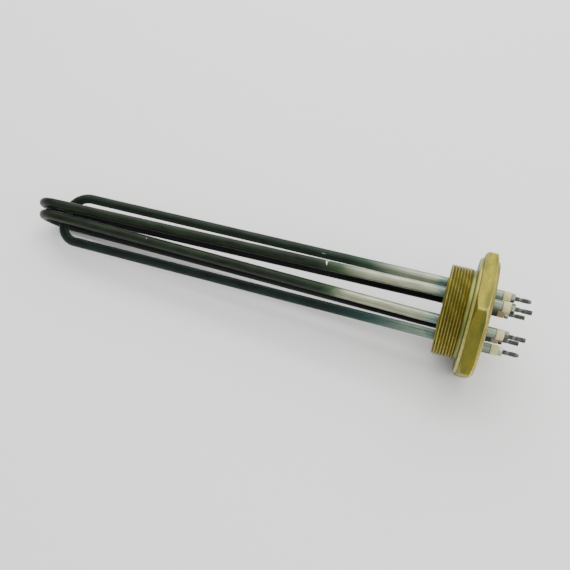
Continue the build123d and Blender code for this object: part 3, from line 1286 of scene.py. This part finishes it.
@dataclass
class Terminal:
    """A leg's terminal: ceramic bush, hexagon nut and threaded stud."""

    leg: int
    tip: Tip = Tip.SQUARE
    # Painted shade on the bush.
    painted_bush_shade: float = 0.0
    # Painted shade under the nut, less on nut 4.
    painted_nut_shade: float = 0.95
    # Painted highlight over the whole nut.
    painted_sheen: float = 0.0
    bush_radius: float = 4.2 * MM
    bush_length: float = 6.0 * MM
    bush_bore: float = 2.1 * MM
    bush_roundings: tuple = mm(0.4, 1.0, 0.4)
    bush_rounding_steps: int = 5
    bush_columns: int = 64
    nut_width: float = 7.0 * MM
    nut_length: float = 3.2 * MM
    nut_inset: float = 0.15 * MM
    nut_chamfer: float = math.radians(30)
    nut_turn: float = math.radians(17)
    nut_wear: Pair = (0.5, 0.6)
    nut_shade_top: float = 0.6
    nut_columns: int = 96
    stud_radius: float = 2.0 * MM
    stud_pitch: float = 0.7 * MM
    stud_depth: float = 0.36 * MM
    seat_radius: float = 1.75 * MM
    seat_start: float = 1.5 * MM
    pin_radius: float = 1.6 * MM
    neck_offset: float = 3.6 * MM
    neck_width: float = 1.6 * MM
    neck_radius: float = 1.6 * MM
    neck_steepness: float = 1.5
    taper_length: float = 3.0 * MM
    taper_depth: float = 1.0 * MM
    taper_power: float = 1.6
    tip_chamfer: float = 0.3 * MM
    thread_sharpness: float = 0.9
    crest_wear: float = 0.35
    root_shade: float = 0.8
    low_shade: float = 0.9
    tip_wear: float = 0.5
    stud_columns: int = 28
    stud_rows_per_pitch: int = 10

    def build_bush(self, start: float, centre: np.ndarray, material: bpy.types.Material) -> None:
        """Make the bush: a ring with rounded edges.

        Args:
            start: its place along X.
            centre: the leg's centre.
            material: the ceramic.
        """
        end = start + self.bush_length
        bore, outer = self.bush_bore, self.bush_radius
        corners = np.array([(start, bore), (start, outer), (end, outer), (end, bore), (start, bore)])
        profile = round_corners(corners, np.array(self.bush_roundings), self.bush_rounding_steps)
        angles = np.linspace(0, TURN, self.bush_columns, endpoint=False)
        shell = Shell(f"bush_{self.leg}_ceramic")
        # Painted shade over the whole bush where it is set.
        shell.add_grid(turned(*profile.T, angles, centre), root=self.painted_bush_shade)
        shell.build(Slot.BUSH, material, f"insulating_bush_{self.leg}")

    def nut_grid(self, start: float, centre: np.ndarray) -> tuple[np.ndarray, np.ndarray, np.ndarray]:
        """The nut's end faces, chamfered sides and bore as one closed grid.

        Its outline is a hexagon h(t). Both ends are cut by a cone that meets the end face at a
        circle c inside the hexagon, so the side starts (h - c) tan(30 deg) from the face. Wear
        lies on the end faces' rims, kept to the upper side as a painted highlight, and painted
        shade where the nut looks down.

        Args:
            start: its place along X.
            centre: the leg's centre.

        Returns:
            The grid, its wear with painted highlight, and its painted shade.
        """
        end = start + self.nut_length
        turn = self.nut_turn * self.leg
        angles = np.linspace(0, TURN, self.nut_columns, endpoint=False) + turn
        outline = hexagon_radius(angles, self.nut_width, turn)
        inside = np.full_like(outline, outline.min() - self.nut_inset)
        cut = (outline - inside) * math.tan(self.nut_chamfer)
        bore = np.full_like(outline, self.seat_radius)
        rows = (start, start, start + cut, end - cut, end, end, start)
        x = np.stack([np.zeros_like(outline) + row for row in rows])
        radius = np.stack([bore, inside, outline, outline, inside, bore, bore])
        near, far = self.nut_wear
        # Rim wear, plus a painted highlight over the whole nut where it is set.
        wear = np.array([0.0, near, 0.0, 0.0, far, 0.0, 0.0])[:, None] + self.painted_sheen
        grid = turned(x, radius, angles, centre)
        # Painted shade under the nut; it also keeps the rim wear to the upper side as a painted
        # highlight.
        under = self.painted_nut_shade * underside(grid, centre[1], self.nut_width / 2, self.nut_shade_top)
        return grid, wear * (1 - under), under

    def stud_grid(self, start: float, end: float, centre: np.ndarray) -> tuple[np.ndarray, np.ndarray]:
        """The stud's threaded free end.

        The radius is R - d / 2 (1 - w) with w the thread wave, no more than the neck's radius in
        the neck and than R - depth share ** power at the tip. The neck is as deep as
        1.5 - 1.5 |x - m| / width about its middle m, held between 0 and 1.

        Args:
            start: where the thread starts.
            end: the tip.
            centre: the leg's centre.

        Returns:
            The grid and how deep in a root each point lies.
        """
        angles = np.linspace(0, TURN, self.stud_columns, endpoint=False)
        rows = int((end - start) / self.stud_pitch * self.stud_rows_per_pitch)
        x = np.linspace(start, end, rows)[:, None] + 0 * angles
        wave = thread_wave(x / self.stud_pitch - angles / TURN, self.thread_sharpness)
        radius = self.stud_radius - self.stud_depth / 2 * (1 - wave)
        length, depth, power = self.tip_chamfer, self.tip_chamfer, 1.0
        if self.tip is Tip.TAPERED:
            length, depth, power = self.taper_length, self.taper_depth, self.taper_power
        cone = self.stud_radius - depth * np.clip((x - end + length) / length, 0, 1) ** power
        middle, steep = start + self.neck_offset + self.neck_width / 2, self.neck_steepness
        dip = np.clip(steep - np.abs(x - middle) / self.neck_width * steep, 0, 1)
        neck = self.stud_radius - (self.stud_radius - self.neck_radius) * dip
        return turned(x, np.minimum(np.minimum(radius, cone), neck), angles, centre), (1 - wave) / 2

    def build_stud(self, bush_end: float, centre: np.ndarray, material: bpy.types.Material) -> None:
        """Make the stud: cold pin, seat in the nut and threaded free end.

        Args:
            bush_end: the end of the bush along X.
            centre: the leg's centre.
            material: the stud's steel.
        """
        low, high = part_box(f"terminal_stud_{self.leg}")
        seat, free = bush_end - self.seat_start, bush_end + self.nut_length
        grid, root = self.stud_grid(free, high.x, centre)
        shell = Shell(f"stud_{self.leg}_threaded")
        crest = np.clip(self.crest_wear - root, 0, 1)
        # Painted shade on the lower side and darker roots; crest wear stays on the upper side as a
        # painted highlight.
        under = underside(grid, centre[1], self.stud_radius)
        shade = np.maximum(root * self.root_shade, under * self.low_shade)
        shell.add_grid(grid, root=shade, wear=crest * (1 - under))
        angles = np.linspace(0, TURN, self.stud_columns, endpoint=False)
        x = np.array([low.x, low.x, seat, seat, free])
        radius = np.array([0.0, self.pin_radius, self.pin_radius, self.seat_radius, self.seat_radius])
        shell.add_grid(turned(x, radius, angles, centre))
        seat_ring = turned(x[-1:], radius[-1:], angles, centre)[0]
        shell.add_grid(np.stack([seat_ring, grid[0]]))
        point = np.broadcast_to([high.x, *centre], grid[-1].shape)
        shell.add_grid(np.stack([grid[-1], point]), wear=self.tip_wear)
        shell.build(Slot.STUD, material, f"terminal_stud_{self.leg}")


@dataclass
class BrazeRing:
    """The fillet of filler metal round each leg on the wet face."""

    tube_radius: float = 4.2 * MM
    size: float = 0.8 * MM
    overlap: float = 0.02 * MM
    shade: float = 0.35
    rows: int = 7
    columns: int = 48

    def build(self, holes: np.ndarray, material: bpy.types.Material) -> None:
        """Make the six rings as one piece.

        The profile is a quarter circle of the fillet's size, hollow outwards.

        Args:
            holes: (6, 2) centres of the legs.
            material: the filler metal.
        """
        t = np.linspace(0, np.pi / 2, self.rows)
        radius = self.tube_radius + self.size * (1 - np.sin(t))
        x = SPIGOT_END - self.size * (1 - np.cos(t))
        radius = np.concatenate([radius, [self.tube_radius - self.overlap] * 2, radius[:1]])
        x = np.concatenate([x, x[-1:], [SPIGOT_END], x[:1]])
        angles = np.linspace(0, TURN, self.columns, endpoint=False)
        shell = Shell("braze_rings")
        for hole in holes:
            shell.add_grid(turned(x, radius, angles, hole), root=self.shade)
        shell.build(Slot.BRASS, material)


@dataclass(frozen=True)
class Lamp:
    """A square soft light: where it hangs, its side in metres and its power in watts."""

    name: str
    place: tuple[float, float, float]
    size: float
    power: float


@dataclass
class Studio:
    """Pale floor, soft light and the camera."""

    camera_place: tuple = mm(-20.0, -347.5, 464.7)
    azimuth: float = math.radians(20.708)
    elevation: float = math.radians(52.625)
    roll: float = math.radians(-2.514)
    focal_pixels: float = 700.0
    frame_pixels: float = 570.0
    sensor: float = 36.0
    clip_start: float = 0.01
    floor_size: float = 24.0
    floor_colour: Colour = tone(253, 253, 252)
    floor_roughness: float = 0.9
    clear_of_plug: float = 50 * MM
    sky_heights: Pair = (-0.1, 0.7)
    sky_levels: Pair = (0.28, 0.8)
    lit_point: tuple = (-0.12, 0.0, 0.0)
    lamps: tuple[Lamp, ...] = (
        Lamp("key", (-0.25, 0.78, 1.12), 1.8, 27.0),
        Lamp("fill", (0.4, -0.95, 1.2), 0.8, 6.0),
        Lamp("side", (1.1, -0.2, 0.5), 0.6, 5.0),
    )

    def build_camera(self) -> None:
        """Place the camera as the photograph was taken.

        It looks along (-sin a cos e, cos a cos e, -sin e) and is rolled about that direction.
        """
        a, e = self.azimuth, self.elevation
        forward = Vector((-math.sin(a) * math.cos(e), math.cos(a) * math.cos(e), -math.sin(e)))
        level = Vector((math.cos(a), math.sin(a), 0.0))
        raised = level.cross(forward)
        right = level * math.cos(self.roll) + raised * math.sin(self.roll)
        up = -level * math.sin(self.roll) + raised * math.cos(self.roll)
        data = bpy.data.cameras.new("camera")
        data.sensor_width = self.sensor
        data.lens = self.focal_pixels / self.frame_pixels * self.sensor
        data.clip_start = self.clip_start
        camera = bpy.data.objects.new("camera", data)
        turn = Matrix((right, up, -forward)).transposed().to_4x4()
        camera.matrix_world = Matrix.Translation(Vector(self.camera_place)) @ turn
        bpy.context.scene.collection.objects.link(camera)
        bpy.context.scene.camera = camera

    def floor_slope(self, edge: Pair) -> float:
        """How steeply the floor rises towards the tubes' turns.

        The heater lies on the hexagon's lower edge and on one turn, so the slope is the least
        (z - z0) / (x0 - x) over the tubes' points, with the edge at (x0, z0).

        Args:
            edge: (x0, z0) of the hexagon's lower edge on the tubes' side.

        Returns:
            The slope.
        """
        least = math.inf
        for name in ("centre", "upper", "lower"):
            mesh = bpy.data.objects[f"{name}_sheath"].data
            points = np.empty(len(mesh.vertices) * 3)
            mesh.vertices.foreach_get("co", points)
            points = points.reshape(-1, 3)
            points = points[points[:, 0] < edge[0] - self.clear_of_plug]
            least = min(least, float(((points[:, 2] - edge[1]) / (edge[0] - points[:, 0])).min()))
        return least

    def build_floor(self, edge: Pair) -> Vector:
        """Lay the floor under the hexagon's lower edge and the lowest turn.

        Args:
            edge: (x, z) of the hexagon's lower edge on the tubes' side.

        Returns:
            The direction square to the floor.
        """
        slope = self.floor_slope(edge)
        x = np.array([-1.0, 1.0, 1.0, -1.0]) * self.floor_size / 2
        y = np.array([-1.0, -1.0, 1.0, 1.0]) * self.floor_size / 2
        z = edge[1] + slope * (edge[0] - x)
        mesh = bpy.data.meshes.new("floor")
        mesh.from_pydata(np.stack([x, y, z], axis=1).tolist(), [], [(0, 1, 2, 3)])
        material, graph, shader = start_material("pale_floor")
        graph.feed(shader, {"Base Color": self.floor_colour, "Roughness": self.floor_roughness})
        mesh.materials.append(material)
        floor = bpy.data.objects.new("floor", mesh)
        bpy.context.scene.collection.objects.link(floor)
        return Vector((slope, 0.0, 1.0)).normalized()

    def add_lamp(self, lamp: Lamp) -> None:
        """Hang a lamp so that it faces the middle of the heater.

        Args:
            lamp: the lamp.
        """
        data = bpy.data.lights.new(lamp.name, "AREA")
        data.size, data.energy = lamp.size, lamp.power
        hung = bpy.data.objects.new(lamp.name, data)
        place = Vector(lamp.place)
        turn = (Vector(self.lit_point) - place).to_track_quat("-Z", "Y")
        hung.matrix_world = Matrix.Translation(place) @ turn.to_matrix().to_4x4()
        bpy.context.scene.collection.objects.link(hung)

    def build_light(self) -> None:
        """Set a pale sky that darkens towards the horizon, and hang the lamps."""
        world = bpy.data.worlds.new("studio")
        world.use_nodes = True
        graph = Graph(world.node_tree)
        direction = graph.add("TexCoord").outputs["Generated"]
        height = graph.add("SeparateXYZ", {0: direction}).outputs["Z"]
        level = graph.spread(height, *self.sky_heights, self.sky_levels)
        background = world.node_tree.nodes["Background"]
        graph.feed(background, {"Strength": level, "Color": (1.0, 1.0, 1.0, 1.0)})
        bpy.context.scene.world = world
        for lamp in self.lamps:
            self.add_lamp(lamp)


def main() -> None:
    """Build the heater and the studio round it."""
    logging.basicConfig(level=logging.INFO, format="%(name)s %(message)s")
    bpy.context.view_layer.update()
    effects = SharedEffects()
    brass = BrassFinish().material(effects)
    steel = TubeFinish().material(effects)
    plain = (finish.material(effects) for finish in (CERAMIC, NUT_STEEL, STUD_STEEL))
    ceramic, nut_steel, stud_steel = plain

    circle = LegCircle()
    holes = circle.centres()
    plug = ScrewPlug()
    plug.build(holes, brass)
    BrazeRing().build(holes, brass)
    tubes = (
        HeatingTube("centre", legs=(1, 4), lean=(0.32, 0.06), bends=(20 * MM, 14.8 * MM)),
        HeatingTube("upper", legs=(2, 6), lean=(0.89, 0.89)),
        HeatingTube("lower", legs=(3, 5), lean=(1.05, 0.78)),
    )
    for tube in tubes:
        tube.build(circle, steel)
    nuts = Shell("nuts_plated")
    for leg, centre in enumerate(holes, start=1):
        terminal = Terminal(leg, **TERMINAL_LOOKS.get(leg, {}))
        bush_end = TUBE_END + terminal.bush_length
        terminal.build_bush(TUBE_END, centre, ceramic)
        terminal.build_stud(bush_end, centre, stud_steel)
        # The nuts' stored root is painted shade on their lower sides.
        grid, wear, painted_nut_shade = terminal.nut_grid(bush_end, centre)
        nuts.add_grid(grid, wear=wear, root=painted_nut_shade)
    nuts.build(Slot.NUT, nut_steel, "terminal_nuts")

    studio = Studio()
    studio.build_camera()
    studio.build_floor((plug.sealing_face + plug.collar_thickness, PLUG_LOW.z))
    studio.build_light()


if __name__ == "__main__":
    main()
